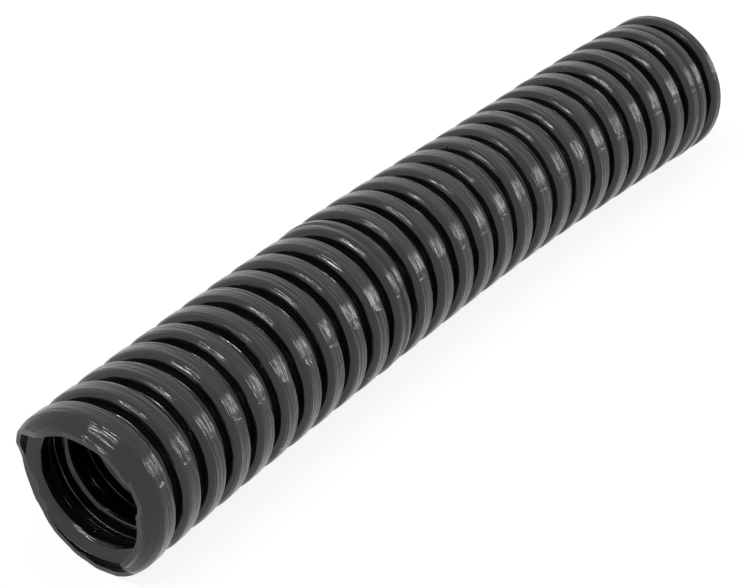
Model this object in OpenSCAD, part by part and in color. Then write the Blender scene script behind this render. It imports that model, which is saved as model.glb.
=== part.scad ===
// Corrugated conduit: a short cut length of ribbed plastic tube, moulded in one piece.
// It lies along X and keeps a slight level bend from the coil that it was cut from.
// Millimetres, +Z up. The origin is on the floor, at the middle of what the tube covers.

/* [Tube] */
// Outside diameter, over the rib crests
outside_d = 13; // [12.8:0.1:16]
// Bore, between the groove floors
bore_d = 10.1; // [8:0.1:10.4]
// Wall thickness, the same all along the wave
wall = 0.35; // [0.25:0.01:0.42]

/* [Ribs] */
// Whole ribs in the cut length
rib_count = 26; // [14:1:40]
// Distance from one rib to the next
pitch = 3.05; // [3:0.01:4]
// Width of a crest, out to the corners that its edge rounding takes away
crest_w = 1.9; // [1.5:0.01:2.1]
// Slope of the flanks away from square to the axis, in degrees
flank_slope = 7; // [3:0.5:10]
// Rounding of the crest edges
crest_edge_r = 0.4; // [0.2:0.01:0.5]
// Rounding at the foot of a flank, on the outside of the wall
foot_r = 0.2; // [0.1:0.01:0.22]
// Rounding in the corners of the hollow rib, on the inside of the wall
hollow_r = 0.12; // [0.05:0.01:0.2]

/* [Mould block joints] */
// First rib whose crest lies across the joint between two mould blocks
joint_rib = 11; // [2:1:12]
// Ribs that one mould block forms
block_ribs = 15; // [13:1:20]
// Extra width of a crest that has a joint
joint_extra_w = 0.25; // [0:0.01:0.3]
// Depth of the shallow groove that the joint leaves round the crest
joint_depth = 0.1; // [0.05:0.01:0.15]
// Radius of that groove's round floor
joint_groove_r = 0.35; // [0.2:0.01:0.5]
// Sideways step at a joint, from one mould block to the next
block_step = 0.1; // [0.02:0.01:0.12]

/* [Cut ends] */
// From the middle of the first whole rib back to the near cut, along the axis
near_cut = 2.2; // [1.6:0.05:3]
// Slant of the near cut away from square, in degrees
near_slant = 7; // [0:0.5:10]
// Where round the tube the slant leaves least, in degrees up from +Y
near_slant_side = 20; // [-180:5:180]
// From the middle of the last whole rib on to the square far cut
far_cut = 3.1; // [1.6:0.05:3.8]

/* [Coil set] */
// Radius of the bend that the coil has left
coil_r = 650; // [300:10:2000]

/* [Hidden] */
$fn = 96;
fillet_fn = 24;                                        // fineness of the small roundings
joint_slit = 0.06;                                     // width of the joint groove's very bottom
lap = 0.012;                                           // how far a foot's skin lies under a floor's

crest_r = outside_d / 2;
bore_r = bore_d / 2;
floor_r = bore_r + wall;                               // outside of the groove floor
flank_run = (crest_r - floor_r) * tan(flank_slope);    // axial width of a flank
floor_w = pitch - crest_w - 2 * (flank_run + corner_run(foot_r)); // flat of a groove floor
turn = pitch / coil_r * 180 / PI;                      // bend of one pitch, in degrees

// How far a rounding reaches from its corner, along the crest or the floor
function corner_run(r) = r * (1 - sin(flank_slope)) / cos(flank_slope);

function is_joint(i) = i >= joint_rib && (i - joint_rib) % block_ribs == 0;
function block_of(i) = i <= joint_rib ? 0 : 1 + floor((i - joint_rib - 1) / block_ribs);
function widening(i) = is_joint(i) ? joint_extra_w : 0;
function half_pitch(i) = (pitch + widening(i)) / 2;

// Way of rib i, and the place of its middle. The ribs are straight and the groove floors turn.
function heading(i) = ((1 + rib_count) / 2 - i) * turn;
function along(a, d) = [cos(a), sin(a)] * d;
function step_from(i) = along(heading(i), half_pitch(i)) + along(heading(i + 1), half_pitch(i + 1));
function path_sum(i) = i == 0 ? [0, 0] : path_sum(i - 1) + step_from(i - 1);
near_end = path_sum(1) - along(heading(1), near_cut + crest_r * tan(near_slant));
far_end = path_sum(rib_count) + along(heading(rib_count), far_cut);
bow = path_sum(floor((1 + rib_count) / 2))[1] - (near_end[1] + far_end[1]) / 2;
lean = crest_r * sin(heading(1));                      // the ends' outer corners lie this far on
home = (near_end + far_end + [2 * lean, bow]) / 2;
function middle(i) = path_sum(i) - home;

// Every second mould block stands a little out of line with its neighbours
function block_shift(b) = b == 0 ? [0, 0] : block_shift(b - 1)
    + along(heading(joint_rib + (b - 1) * block_ribs) + 90, b % 2 == 1 ? block_step : -block_step);

// Half an outline of the wave, from the crest out along the groove floor.
// x is the radius and y runs along the tube; each rounding is cut back to its centre.
function side_points(top_r, low_r, half_top, top_edge_r, foot_edge_r, reach) =
    let (run = (top_r - low_r) * tan(flank_slope),
         t = corner_run(top_edge_r), f = corner_run(foot_edge_r),
         slant = [-cos(flank_slope), sin(flank_slope)],
         corner = [top_r, half_top], foot = [low_r, half_top + run])
    [corner - [0, t], corner - [top_edge_r, t], corner + slant * t,
     foot - slant * f, foot + [foot_edge_r, f], foot + [0, f],
     foot + [0, f + reach], [0, foot[1] + f + reach]];

// Area between the axis and the wave, one rib long, with reach of floor past each foot
module wave_area(top_r, low_r, half_top, top_edge_r, foot_edge_r, reach) {
    side = side_points(top_r, low_r, half_top, top_edge_r, foot_edge_r, reach);
    last = len(side) - 1;
    difference() {
        union() {
            polygon(concat(side, [for (i = [last:-1:0]) [side[i][0], -side[i][1]]]));
            for (way = [-1, 1])
                translate([side[1][0], way * side[1][1]]) circle(top_edge_r, $fn = fillet_fn);
        }
        for (way = [-1, 1])
            translate([side[4][0], way * side[4][1]]) circle(foot_edge_r, $fn = fillet_fn);
    }
}

// Section of the wall through rib i. The inside follows the outside at one wall's distance.
module rib_section(i) {
    half_top = (crest_w + widening(i)) / 2;
    inset = wall * (1 / cos(flank_slope) - tan(flank_slope));
    tail = 0.4 * floor_w;
    difference() {
        wave_area(crest_r, floor_r - lap, half_top, crest_edge_r, foot_r, tail);
        wave_area(crest_r - wall, bore_r + lap, half_top - inset, hollow_r, foot_r + wall, pitch);
    }
}

// One side of a joint's crest, -1 towards the near end and 1 towards the far end, with half of
// the shallow groove
module joint_section(i, way) {
    difference() {
        intersection() {
            rib_section(i);
            translate([0, way < 0 ? -pitch : joint_slit / 2]) square([outside_d, pitch - joint_slit / 2]);
        }
        translate([crest_r - joint_depth + joint_groove_r, 0]) circle(joint_groove_r, $fn = fillet_fn);
    }
}

// Stands a turned shape along the tube: s is the middle of rib s, or the floor half way to the next
module at_place(s, b) {
    i = floor(s);
    p = middle(i) + (s > i ? along(heading(i), half_pitch(i)) : [0, 0]) + block_shift(b);
    translate([p[0], p[1], crest_r]) rotate([0, 0, heading(s)]) children();
}

module ring(outer_r, inner_r, w) {
    rotate_extrude() translate([inner_r, -w / 2]) square([outer_r - inner_r, w]);
}

module rib(i) {
    at_place(i, block_of(i)) rotate([0, 90, 0]) rotate_extrude() rib_section(i);
}

// Crest that two mould blocks share, each with its own half, and the web at the bottom of the groove
module joint_crest(i) {
    mid_shift = (block_shift(block_of(i + 1)) - block_shift(block_of(i))) / 2;
    for (way = [-1, 1])
        at_place(i, block_of(i + (way + 1) / 2))
            rotate([0, 90, 0]) rotate_extrude() joint_section(i, way);
    translate([mid_shift[0], mid_shift[1], 0])
        at_place(i, block_of(i))
            rotate([0, 90, 0])
                ring(crest_r - joint_depth - block_step, crest_r - wall - block_step, 4 * joint_slit);
}

module groove_floor(i) {
    at_place(i + 0.5, block_of(i + 1)) rotate([0, 90, 0]) ring(floor_r, bore_r, 0.6 * floor_w);
}

// What the knife takes away beyond the slanting near cut and the square far cut
module cut_off() {
    depth = 3 * pitch;
    at_place(1, 0)
        translate([-near_cut, 0, 0])
            rotate([near_slant_side, 0, 0])
                rotate([0, 0, -near_slant])
                    translate([-depth, -outside_d, -outside_d])
                        cube([depth, 2 * outside_d, 2 * outside_d]);
    at_place(rib_count, block_of(rib_count + 1))
        translate([far_cut, -outside_d, -outside_d])
            cube([depth, 2 * outside_d, 2 * outside_d]);
}

module conduit() {
    color([0.05, 0.05, 0.045])
        difference() {
            union() {
                for (i = [0:rib_count + 1])
                    if (is_joint(i)) joint_crest(i);
                    else rib(i);
                for (i = [0:rib_count]) groove_floor(i);
            }
            cut_off();
        }
}

conduit();
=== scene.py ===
"""Corrugated conduit: a short cut length of black ribbed polyamide tube, lying on a pale floor.
Lengths are worked out in millimetres and turned into metres when the mesh is finished."""

import bisect
import math
import random

import bmesh
import bpy
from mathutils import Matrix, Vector


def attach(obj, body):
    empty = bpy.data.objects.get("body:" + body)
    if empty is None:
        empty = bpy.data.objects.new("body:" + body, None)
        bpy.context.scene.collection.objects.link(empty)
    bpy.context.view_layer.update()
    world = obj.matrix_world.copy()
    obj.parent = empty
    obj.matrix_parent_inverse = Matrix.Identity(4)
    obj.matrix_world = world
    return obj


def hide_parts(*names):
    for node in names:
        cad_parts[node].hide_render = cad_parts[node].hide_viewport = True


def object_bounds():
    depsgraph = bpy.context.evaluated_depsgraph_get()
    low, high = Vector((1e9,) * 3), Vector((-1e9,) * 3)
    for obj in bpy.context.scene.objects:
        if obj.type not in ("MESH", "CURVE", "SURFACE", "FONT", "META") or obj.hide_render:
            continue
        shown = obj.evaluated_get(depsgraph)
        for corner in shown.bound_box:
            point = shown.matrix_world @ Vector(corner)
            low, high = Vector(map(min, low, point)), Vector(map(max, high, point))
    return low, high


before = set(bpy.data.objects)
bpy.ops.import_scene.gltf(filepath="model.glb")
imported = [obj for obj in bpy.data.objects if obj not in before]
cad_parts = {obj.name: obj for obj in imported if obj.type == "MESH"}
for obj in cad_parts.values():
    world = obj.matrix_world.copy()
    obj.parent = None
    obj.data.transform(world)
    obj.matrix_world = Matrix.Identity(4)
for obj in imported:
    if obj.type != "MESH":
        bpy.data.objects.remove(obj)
cad_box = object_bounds()
MM = 0.001
SEED = 8
chance = random.Random(SEED)

# ---- sizes of the tube, in millimetres and degrees ----
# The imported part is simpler: its crests have sharper edges and one radius, its last joint is narrower,
# its cuts are plain and the far one is shorter, so its ribs lie a little nearer the far end.

OUTSIDE_D = 13.0
BORE_D = 10.1
WALL = 0.35
RIBS = 26
PITCH = 3.05
CREST_W = 2.0
CREST_EDGE_R = 0.55
CROWN = 0.04                     # how much lower a crest is at its edges than in its middle
FLANK_SLOPE = math.radians(7)
FOOT_R = 0.2
HOLLOW_R = 0.12
COIL_R = 650.0
FAR_CUT = 3.45                   # from the last whole rib's middle on to the far cut
COLLAR = 2.8                     # from the first rib's middle back to where the drawn wall starts
END_GAP = 0.06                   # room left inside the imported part's box at the far end
SIDE_GAP = 0.005                 # and at its side

# Mould blocks: each forms so many ribs, and two of them share the crest at a joint
BLOCK_RIBS = 15
FIRST_JOINT = 11
LAST_JOINT = FIRST_JOINT + BLOCK_RIBS
JOINTS = {FIRST_JOINT: 0.25, LAST_JOINT: 0.7}              # extra width of those crests
JOINT_DEPTH = 0.1                # of the shallow groove round a joint's crest
JOINT_BLEND = 0.1                # length over which one block's side step runs into the next one's
BLOCK_STEP = 0.08                # how far the second block stands sideways
FIRST_WAIST = 0.02               # how far the crests draw in half way along a block
LATE_WAIST = 0.23

# Middle of a crest, from its middle line out: distance along the tube, and depth
JOINT_TOP = [(0.05, JOINT_DEPTH), (0.13, 0.6 * JOINT_DEPTH), (0.2, 0.15 * JOINT_DEPTH), (0.27, 0.0)]
PLAIN_TOP = [(0.14, 0.0), (0.3, 0.01)]
FLAT_MARGIN = 0.02               # flat left between a crest's middle and its edge rounding

# The sloping front of the first rib: rounding radius with its number of segments
COLLAR_EDGE = (0.45, 6)
COLLAR_FOOT = (0.3, 4)
COLLAR_EDGE_IN = 0.02            # its edge lies this far inside a plain crest's, and this far below
COLLAR_EDGE_DROP = 0.1
COLLAR_RUN = 0.78                # its foot lies this far beyond the crest, outside and inside
COLLAR_RUN_INSIDE = 0.85
COLLAR_FOOT_RISE = 0.02

# Inside, ribs that the openings show have finer roundings
SEEN_BEFORE = 6
SEEN_AFTER = 24

CREST_R = OUTSIDE_D / 2
BORE_R = BORE_D / 2
FLOOR_R = BORE_R + WALL
TURN = PITCH / COIL_R
SEGMENTS = 96
PARTING = math.radians(157)      # where round the tube the two mould halves meet
GATHERED = [0.0, 0.16, 0.55, 1.6, 3.0]     # where the first segments from that line are drawn to
CUT_TOLERANCE = 1e-6
WELD = 0.0005


def half_pitch(i):
    return (PITCH + JOINTS.get(i, 0.0)) / 2


def crest_at(i):
    """Radius over the crest of rib i; the crests draw in between the mould block joints."""
    waist = FIRST_WAIST if i < FIRST_JOINT else LATE_WAIST
    return CREST_R - waist * math.sin(math.pi * (i - FIRST_JOINT) / BLOCK_RIBS) ** 2


def heading(i):
    """Way of rib i in the level bend."""
    return ((1 + RIBS) / 2 - i) * TURN


def along(angle, length):
    return Vector((math.cos(angle), math.sin(angle))) * length


def corner_run(r):
    """How far a rounding reaches from its corner."""
    return r * (1 - math.sin(FLANK_SLOPE)) / math.cos(FLANK_SLOPE)


# Rib middles: their distance along the tube, and their place on the bent axis
station = [0.0]
axis = [Vector((0, 0))]
for rib in range(RIBS + 2):
    station.append(station[-1] + half_pitch(rib) + half_pitch(rib + 1))
    step = along(heading(rib), half_pitch(rib)) + along(heading(rib + 1), half_pitch(rib + 1))
    axis.append(axis[-1] + step)
rib_edges = [station[i] + half_pitch(i) for i in range(RIBS + 1)]

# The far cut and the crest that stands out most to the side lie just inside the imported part's box
lean = CREST_R * math.sin(heading(1))
far_x = (axis[RIBS] + along(heading(RIBS), FAR_CUT))[0] + lean
shift_x = cad_box[1][0] / MM - far_x - END_GAP
highest = max(axis[i][1] + crest_at(i) + (BLOCK_STEP if FIRST_JOINT < i < LAST_JOINT else 0)
              for i in range(1, RIBS + 1))
shift_y = cad_box[1][1] / MM - highest - SIDE_GAP


def sideways(i, s):
    """Sideways step of the mould block that formed this stretch, met half way in a joint's groove."""
    blend = min(max(s / JOINT_BLEND + 0.5, 0.0), 1.0)
    before = BLOCK_STEP if FIRST_JOINT < i <= LAST_JOINT else 0.0
    after = BLOCK_STEP if FIRST_JOINT <= i < LAST_JOINT else 0.0
    return before + (after - before) * blend


def place(x, y, z):
    """A point of the straight tube, carried to its place on the bent one."""
    i = bisect.bisect_right(rib_edges, x)
    s = x - station[i]
    turned = heading(i) - s / (2 * half_pitch(i)) * TURN
    middle = axis[i] + along(heading(i), s)
    out = along(turned + math.pi / 2, y) + along(heading(i) + math.pi / 2, sideways(i, s))
    return Vector((middle[0] + out[0] + shift_x, middle[1] + out[1] + shift_y, z + CREST_R))


# ---- the wave of the wall ----

def add_chain(bm, corners, rounded):
    """A chain of edges through the corners. rounded: per corner, its radius and segments, or None."""
    verts = [bm.verts.new((x, r, 0)) for x, r in corners]
    for a, b in zip(verts, verts[1:]):
        bm.edges.new((a, b))
    sets = {}
    for v, kind in zip(verts, rounded):
        if kind:
            sets.setdefault(kind, []).append(v)
    for (radius, segments), group in sets.items():
        bmesh.ops.bevel(bm, geom=group, offset=corner_run(radius), offset_type='OFFSET',
                        segments=segments, profile=0.5, affect='VERTICES', clamp_overlap=True,
                        material=-1)


def add_wave(bm, start_r, sides_of):
    """One face of the wall. sides_of(i): rib i's points before and after its middle, from it out."""
    corners = [(station[1] - COLLAR, start_r)]
    rounded = [None]
    for i in range(1, RIBS + 2):
        front, back = sides_of(i)
        for way, side in ((-1, reversed(front)), (1, back)):
            for x, r, kind in side:
                corners.append((station[i] + way * x, r))
                rounded.append(kind)
    add_chain(bm, corners, rounded)


def outer_sides(i):
    edge = (CREST_EDGE_R, 5)
    foot = (FOOT_R, 3)
    top = crest_at(i)
    half = (CREST_W + JOINTS.get(i, 0.0)) / 2
    run = (top - FLOOR_R) * math.tan(FLANK_SLOPE)
    side = [(x, top - depth, None) for x, depth in (JOINT_TOP if i in JOINTS else PLAIN_TOP)]
    side += [(half - CREST_EDGE_R + FLAT_MARGIN, top, None), (half, top - CROWN, edge),
             (half + run, FLOOR_R, foot)]
    if i > 1:
        return side, side
    # the knife drew the first groove's floor out into a slanting collar
    front = side[:-2] + [(half - COLLAR_EDGE_IN, top - COLLAR_EDGE_DROP, COLLAR_EDGE),
                         (half + COLLAR_RUN, FLOOR_R + COLLAR_FOOT_RISE, COLLAR_FOOT)]
    return front, side


def inner_sides(i):
    seen = i < SEEN_BEFORE or i > SEEN_AFTER
    hollow = (HOLLOW_R, 2 if seen else 1)
    foot = (FOOT_R + WALL, 4 if seen else 2)
    inset = WALL * (1 / math.cos(FLANK_SLOPE) - math.tan(FLANK_SLOPE))
    top = crest_at(i) - WALL
    half = (CREST_W + JOINTS.get(i, 0.0)) / 2 - inset
    run = (top - BORE_R) * math.tan(FLANK_SLOPE)
    side = [(half, top, hollow), (half + run, BORE_R, foot)]
    if i > 1:
        return side, side
    return [(half, top, hollow), (half + COLLAR_RUN_INSIDE, BORE_R, foot)], side


def gather(angle):
    """Draws the segments together at the two parting lines, where the fine detail is."""
    k = SEGMENTS // 2
    t = (angle - PARTING) / math.pi * k            # steps from the line; the same on the other side
    n = t - k * round(t / k)
    near = abs(n)
    last = len(GATHERED) - 1
    if near >= last:
        out = GATHERED[last] + (near - last) * (k / 2 - GATHERED[last]) / (k / 2 - last)
    else:
        j = int(near)
        out = GATHERED[j] + (near - j) * (GATHERED[j + 1] - GATHERED[j])
    return angle + (math.copysign(out, n) - n) * math.pi / k


def smooth_step(a, b, x):
    t = min(max((x - a) / (b - a), 0.0), 1.0)
    return t * t * (3 - 2 * t)


# ---- the two cuts ----

# Lengths from the first rib's middle. Angles go round the tube, from +Y up.
RIB_CUT = -0.45                  # the slanting cut through the first rib: its middle, its slant
RIB_CUT_SLANT = 1.2              # and how far below +Y it reaches furthest
RIB_CUT_SIDE = 20
GROOVE_CUT = 0.1                 # the cut in the groove: where it starts, and how far back it slips
GROOVE_CUT_SLIP = 1.93
SLIP_ANGLES = (4, 66)
SCRAP_CUT = 0.18                 # the bulge of the cut where a scrap of the next rib was left
SCRAP_ANGLE = 158
SCRAP_SPREAD = 22
LEAVES_RIB = (0, 18)             # where the knife leaves the rib for the groove, and comes back
ENTERS_RIB = (228, 235)
ROUGHNESS = 0.05
RAGGED_STEPS = 40
ragged = [chance.uniform(-1, 1) for _ in range(RAGGED_STEPS)]

FLARE_START = 1.72               # the scrap stands out from here on, back from the rib's middle
FLARE_RISE = (138, 150)
FLARE_FALL = (166, 173)
FLARE_SLOPE = 1.7
FLARE_MOST = 0.6

FAR_WANDER = 0.02
FAR_WANDER_TURN = 0.7


def near_knife(angle):
    """How far from the first rib's middle the knife left the wall, round the near end. It slanted
    through the first rib on the outside of the bend, and slipped back into the groove above it."""
    deg = (math.degrees(angle) + 90) % 360 - 90
    through_rib = RIB_CUT + RIB_CUT_SLANT * math.cos(math.radians(deg + RIB_CUT_SIDE))
    scrap = SCRAP_CUT * math.exp(-((deg - SCRAP_ANGLE) / SCRAP_SPREAD) ** 2)
    in_groove = GROOVE_CUT - GROOVE_CUT_SLIP * smooth_step(*SLIP_ANGLES, deg) - scrap
    cut_rib = 1 - smooth_step(*LEAVES_RIB, deg) if deg < 90 else smooth_step(*ENTERS_RIB, deg)
    k = (deg + 90) / (360 / RAGGED_STEPS)
    j = int(k) % RAGGED_STEPS
    rough = ragged[j] + (ragged[(j + 1) % RAGGED_STEPS] - ragged[j]) * (k - int(k))
    return in_groove + (through_rib - in_groove) * cut_rib + ROUGHNESS * rough


def far_knife(angle):
    return FAR_CUT + FAR_WANDER * math.sin(2 * angle + FAR_WANDER_TURN)


def cut_end(bm, knife, start, side):
    """Cuts the straight tube along a knife's wandering path: it is laid flat, cut and laid back."""
    def shift(sign):
        for v in bm.verts:
            v.co.x += sign * (start + knife(math.atan2(v.co.z, v.co.y)))

    shift(-1)
    cut = bmesh.ops.bisect_plane(bm, geom=bm.verts[:] + bm.edges[:] + bm.faces[:],
                                 dist=CUT_TOLERANCE, plane_co=(0, 0, 0), plane_no=(side, 0, 0),
                                 clear_outer=True)
    rim = [e for e in cut['geom_cut'] if isinstance(e, bmesh.types.BMEdge)]
    filled = bmesh.ops.triangle_fill(bm, edges=rim, use_beauty=True, normal=(side, 0, 0))
    for f in filled['geom']:
        if isinstance(f, bmesh.types.BMFace):
            f.material_index = 1
    for e in rim:
        e.smooth = False
    shift(1)


def flare_lip(bm):
    """The cut left a scrap of the rib before the first one, which stands out from the lip."""
    for v in bm.verts:
        beyond = station[1] - FLARE_START - v.co.x
        if beyond > 0:
            deg = math.degrees(math.atan2(v.co.z, v.co.y))
            wide = smooth_step(*FLARE_RISE, deg) * (1 - smooth_step(*FLARE_FALL, deg))
            r = math.hypot(v.co.y, v.co.z)
            grow = 1 + wide * min(beyond * FLARE_SLOPE, FLARE_MOST) / r
            v.co.y *= grow
            v.co.z *= grow


# ---- marks that the mould left ----

SKIN_MARGIN = 0.02               # the marks are on the outside only, down to this far under a floor
CREASE_DEPTH = 0.05
CREASE_REACH = 0.55
ON_CREST = 0.1                   # how near a crest's radius counts as on it
LINE_WIDTH = 0.02
FLASH = 0.025
SPECK_ARC = 0.12                 # reach of the specks round the tube and along it
SPECK_REACH = 0.45
SPECK_SHARES = [0.0, 0.0, 0.5, 1.0]
FIRST_SPECKS = 0.1               # height of a speck up to the first joint's rib, and beyond it
LATE_SPECKS = 0.03


def mould_marks(bm):
    """The crease and fine flash where the mould halves met, and a knot of specks on each crest."""
    specks = {}
    for v in bm.verts:
        r = math.hypot(v.co.y, v.co.z)
        if r < FLOOR_R - SKIN_MARGIN:
            continue
        angle = math.atan2(v.co.z, v.co.y)
        off = (angle - PARTING + math.pi / 2) % math.pi - math.pi / 2
        arc = abs(off) * r
        i = min(range(RIBS + 2), key=lambda k: abs(station[k] - v.co.x))
        s = v.co.x - station[i]
        grow = -CREASE_DEPTH * math.exp(-arc / CREASE_REACH)
        on_crest = r > crest_at(i) - ON_CREST
        if arc < LINE_WIDTH and not on_crest:
            grow += FLASH
        if on_crest and arc < SPECK_ARC and abs(s) < SPECK_REACH:
            key = (i, round(s, 2), round(arc, 2), off > 0)
            size = FIRST_SPECKS if i <= FIRST_JOINT else LATE_SPECKS
            grow += specks.setdefault(key, chance.choice(SPECK_SHARES)) * size
        v.co.y *= 1 + grow / r
        v.co.z *= 1 + grow / r


def make_conduit():
    bm = bmesh.new()
    add_wave(bm, FLOOR_R, outer_sides)
    add_wave(bm, BORE_R, inner_sides)
    bmesh.ops.spin(bm, geom=bm.verts[:] + bm.edges[:], cent=(0, 0, 0), axis=(1, 0, 0),
                   dvec=(0, 0, 0), angle=2 * math.pi, steps=SEGMENTS, use_merge=True,
                   use_duplicate=False)
    for v in bm.verts:
        r = math.hypot(v.co.y, v.co.z)
        angle = gather(math.atan2(v.co.z, v.co.y))
        v.co.y = r * math.cos(angle)
        v.co.z = r * math.sin(angle)
    for f in bm.faces:
        f.smooth = True
    cut_end(bm, near_knife, station[1], -1)
    cut_end(bm, far_knife, station[RIBS], 1)
    flare_lip(bm)
    mould_marks(bm)
    bmesh.ops.remove_doubles(bm, verts=bm.verts[:], dist=WELD)
    bmesh.ops.recalc_face_normals(bm, faces=bm.faces[:])
    straight = bm.verts.layers.float_vector.new("straight_mm")
    for v in bm.verts:
        v[straight] = v.co
        v.co = place(*v.co) * MM
    mesh = bpy.data.meshes.new("conduit_body")
    bm.to_mesh(mesh)
    bm.free()
    piece = bpy.data.objects.new("conduit_body", mesh)
    bpy.context.scene.collection.objects.link(piece)
    return piece


# ---- materials ----

POLYAMIDE_IOR = 1.53
CUT_ROUGHNESS = 0.4

# Grain of the fine patterns, as one over its size in millimetres along X, Y and Z
RING_GRAIN = (1 / 0.2, 1 / 5, 1 / 5)
WAVY_GRAIN = (1 / 1.2, 1 / 1.2, 1 / 1.2)
DRAG_GRAIN = (1 / 0.3, 1 / 0.12, 1 / 0.5)
PIP_GRAIN = 1 / 2.6

# Depths of the fine relief, in metres
RING_DEPTH = 0.000095
WAVY_DEPTH = 0.000022
PIP_DEPTH = 0.00004
DRAG_DEPTH = 0.00003


def paint(hex_colour):
    """An sRGB hex colour as linear values."""
    parts = [int(hex_colour[k:k + 2], 16) / 255 for k in (0, 2, 4)]
    return [c / 12.92 if c <= 0.04045 else ((c + 0.055) / 1.055) ** 2.4 for c in parts] + [1.0]


def add(tree, kind, links=None, **settings):
    """Adds a node. settings name its properties, links its sockets with a value or an output."""
    node = tree.nodes.new(kind)
    for name, value in settings.items():
        setattr(node, name, value)
    for name, value in (links or {}).items():
        if isinstance(value, bpy.types.NodeSocket):
            tree.links.new(value, node.inputs[name])
        else:
            node.inputs[name].default_value = value
    return node


def new_material(name):
    material = bpy.data.materials.new(name)
    material.use_nodes = True
    material.node_tree.nodes.clear()
    return material, material.node_tree


def straight_place(tree):
    """Place on the straight tube, in millimetres."""
    at = add(tree, "ShaderNodeAttribute", attribute_name="straight_mm", attribute_type='GEOMETRY')
    return at.outputs["Vector"]


def noise(tree, at, grain, detail):
    scaled = add(tree, "ShaderNodeMapping", {"Vector": at, "Scale": grain})
    links = {"Vector": scaled.outputs[0], "Scale": 1.0, "Detail": detail}
    return add(tree, "ShaderNodeTexNoise", links).outputs[0]


def bumped(tree, height, depth, under=None):
    """Relief of this depth, over the relief under it if there is any."""
    links = {"Height": height, "Strength": 1.0, "Distance": depth}
    if under:
        links["Normal"] = under
    return add(tree, "ShaderNodeBump", links).outputs[0]


def finish_polyamide(tree, pattern, dark, light, roughness, relief):
    shade = add(tree, "ShaderNodeValToRGB", {"Fac": pattern})
    shade.color_ramp.elements[0].color = paint(dark)
    shade.color_ramp.elements[1].color = paint(light)
    shader = add(tree, "ShaderNodeBsdfPrincipled",
                 {"Base Color": shade.outputs[0], "Roughness": roughness, "IOR": POLYAMIDE_IOR,
                  "Normal": relief})
    add(tree, "ShaderNodeOutputMaterial", {"Surface": shader.outputs[0]})


def moulded_polyamide():
    """Black polyamide 6, drawn soft against cold mould blocks: a glossy skin with fine rings turned
    into the mould, a slightly wavy sheen and a few pips where the mould was vented."""
    material, tree = new_material("moulded black polyamide")
    at = straight_place(tree)
    rings = noise(tree, at, RING_GRAIN, 2.0)
    wavy = noise(tree, at, WAVY_GRAIN, 3.0)
    vents = add(tree, "ShaderNodeTexVoronoi", {"Vector": at, "Scale": PIP_GRAIN})
    pips = add(tree, "ShaderNodeMapRange", {"Value": vents.outputs["Distance"], "From Min": 0.03,
                                            "From Max": 0.08, "To Min": 1.0, "To Max": 0.0})
    relief = bumped(tree, rings, RING_DEPTH)
    relief = bumped(tree, wavy, WAVY_DEPTH, relief)
    relief = bumped(tree, pips.outputs[0], PIP_DEPTH, relief)
    rough = add(tree, "ShaderNodeMapRange", {"Value": wavy, "From Min": 0.3, "From Max": 0.7,
                                             "To Min": 0.09, "To Max": 0.18})
    finish_polyamide(tree, wavy, "0c0c0a", "141310", rough.outputs[0], relief)
    return material


def knife_cut_polyamide():
    """The same plastic where the knife went through: dull, a little greyer, with drag marks."""
    material, tree = new_material("knife-cut black polyamide")
    drag = noise(tree, straight_place(tree), DRAG_GRAIN, 3.0)
    relief = bumped(tree, drag, DRAG_DEPTH)
    finish_polyamide(tree, drag, "23231e", "403f39", CUT_ROUGHNESS, relief)
    return material


conduit = make_conduit()
conduit.data.materials.append(moulded_polyamide())
conduit.data.materials.append(knife_cut_polyamide())
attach(conduit, "root")
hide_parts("conduit")

# ---- floor, world, lamps and camera ----

FLOOR_HALF = 2.0                 # metres, as all that follows
FLOOR_WHITE = 0.88               # with the light that the floor returns, this comes to white
FLOOR_GREY = 0.20
ROOM_GREY = 0.4                  # what the world adds to the light on dull surfaces
LAMP_DISTANCE = 0.8
LAMP_COLOUR = (1.0, 0.97, 0.93)

scene = bpy.context.scene
scene.view_settings.view_transform = 'Standard'


def grey(level):
    return (level, level, level, 1)


def sees_background(tree):
    """1 for the rays that show the white background: camera, mirrored and transmitted ones."""
    path = add(tree, "ShaderNodeLightPath")
    bounced = add(tree, "ShaderNodeMath",
                  {0: path.outputs["Is Glossy Ray"], 1: path.outputs["Is Transmission Ray"]},
                  operation='MAXIMUM')
    seen = add(tree, "ShaderNodeMath", {0: path.outputs["Is Camera Ray"], 1: bounced.outputs[0]},
               operation='MAXIMUM')
    return seen.outputs[0]


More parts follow.
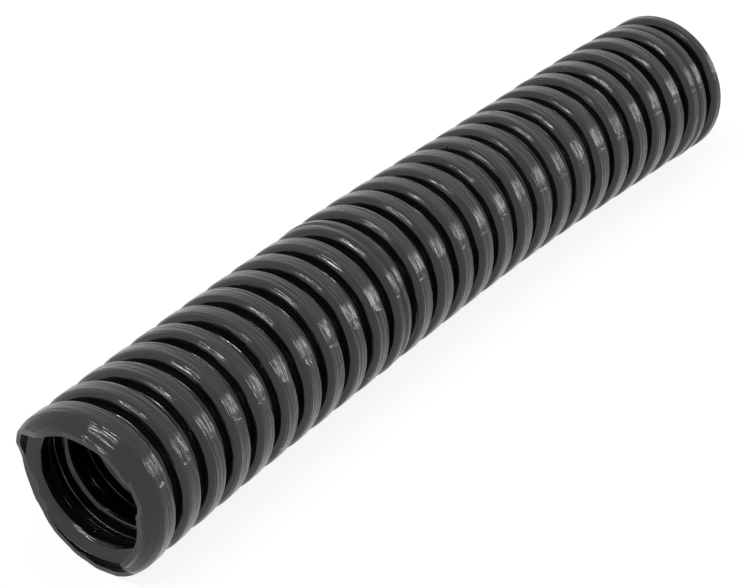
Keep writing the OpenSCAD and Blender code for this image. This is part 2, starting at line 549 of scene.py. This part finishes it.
bm = bmesh.new()
bmesh.ops.create_grid(bm, x_segments=1, y_segments=1, size=FLOOR_HALF)
floor_mesh = bpy.data.meshes.new("floor")
bm.to_mesh(floor_mesh)
bm.free()
floor = bpy.data.objects.new("floor", floor_mesh)
scene.collection.objects.link(floor)
material, tree = new_material("pale floor")
white = add(tree, "ShaderNodeMath", {0: sees_background(tree), 1: FLOOR_WHITE}, operation='MULTIPLY')
glow = add(tree, "ShaderNodeEmission", {"Color": grey(1), "Strength": white.outputs[0]})
lit = add(tree, "ShaderNodeBsdfDiffuse", {"Color": grey(FLOOR_GREY)})
both = add(tree, "ShaderNodeAddShader", {0: glow.outputs[0], 1: lit.outputs[0]})
add(tree, "ShaderNodeOutputMaterial", {"Surface": both.outputs[0]})
floor_mesh.materials.append(material)

world = bpy.data.worlds.new("room")
scene.world = world
world.use_nodes = True
tree = world.node_tree
tree.nodes.clear()
room = add(tree, "ShaderNodeMix", {"Factor": sees_background(tree), "A": grey(ROOM_GREY),
                                   "B": grey(1)}, data_type='RGBA')
shown = add(tree, "ShaderNodeBackground", {"Color": room.outputs["Result"], "Strength": 1.0})
add(tree, "ShaderNodeOutputWorld", {"Surface": shown.outputs[0]})


def soft_lamp(name, way, size, radiance):
    """A rectangular soft box that faces the tube from this direction, this bright to look at."""
    lamp = bpy.data.lights.new(name, 'AREA')
    lamp.shape = 'RECTANGLE'
    lamp.size = size[0]
    lamp.size_y = size[1]
    lamp.energy = radiance * math.pi * size[0] * size[1]
    lamp.color = LAMP_COLOUR
    box = bpy.data.objects.new(name, lamp)
    direction = Vector(way).normalized()
    box.location = direction * LAMP_DISTANCE + Vector((0, 0, CREST_R * MM))
    box.rotation_euler = direction.to_track_quat('Z', 'Y').to_euler()
    scene.collection.objects.link(box)


soft_lamp("window soft box", (0.71, -0.65, 0.27), (0.14, 0.28), 11.0)
soft_lamp("overhead soft box", (-0.52, -0.035, 0.81), (0.46, 0.035), 46.0)

camera = bpy.data.cameras.new("camera")
camera.sensor_width = 36.0
camera.lens = 119.67
camera.clip_start = 0.01
eye = bpy.data.objects.new("camera", camera)
eye.location = Vector((-143.888, -94.302, 100.199)) * MM
aim = Vector((-6.300, -0.853, 6.5)) * MM
eye.rotation_euler = (eye.location - aim).to_track_quat('Z', 'Y').to_euler()
scene.collection.objects.link(eye)
scene.camera = eye
